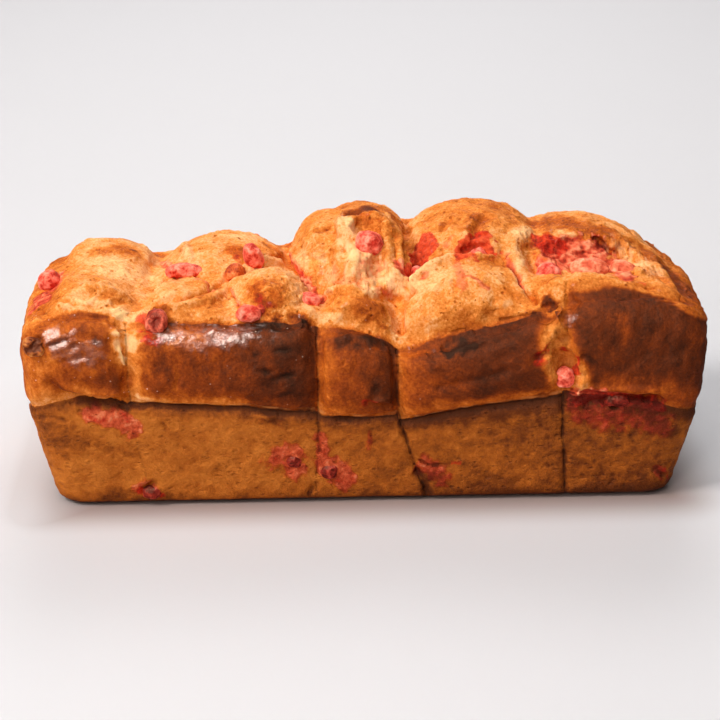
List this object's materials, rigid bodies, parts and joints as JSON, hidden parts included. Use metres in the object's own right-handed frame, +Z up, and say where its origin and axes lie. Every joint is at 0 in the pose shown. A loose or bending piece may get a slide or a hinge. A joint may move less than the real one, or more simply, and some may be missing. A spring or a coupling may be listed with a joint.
{
  "type": "praline brioche loaf",
  "caption": "Brioche loaf baked in a low mould: pale moulded sides, dark swollen pillows above the lip, and a torn golden top set with pink sugared almonds.",
  "frame": {"origin": "middle of the flat foot that the loaf stands on", "axes": "+X along the loaf, to the right as seen from the front; +Y to the rear; +Z up"},
  "size_m": [0.2781, 0.1175, 0.1103],
  "materials": {
    "crust": "satin",
    "pink_sugar": "matte"
  },
  "bodies": {
    "root": {"loaf": "crust", "praline_tall": "pink_sugar", "praline_caramel": "pink_sugar", "praline_long": "pink_sugar", "praline_left": "pink_sugar", "praline_ring": "pink_sugar", "praline_burnt": "pink_sugar", "praline_shoulder": "pink_sugar", "praline_streak": "pink_sugar", "praline_bun": "pink_sugar", "praline_slit": "pink_sugar", "praline_well": "pink_sugar", "praline_round": "pink_sugar", "praline_heap": "pink_sugar", "praline_trail": "pink_sugar", "praline_gap": "pink_sugar", "praline_band": "pink_sugar", "praline_wall": "pink_sugar", "praline_speck": "pink_sugar", "praline_foot": "pink_sugar", "praline_rear_slit": "pink_sugar", "praline_rear_crater": "pink_sugar", "praline_rear_edge": "pink_sugar", "praline_rear_wall": "pink_sugar"}
  },
  "joints": []
}
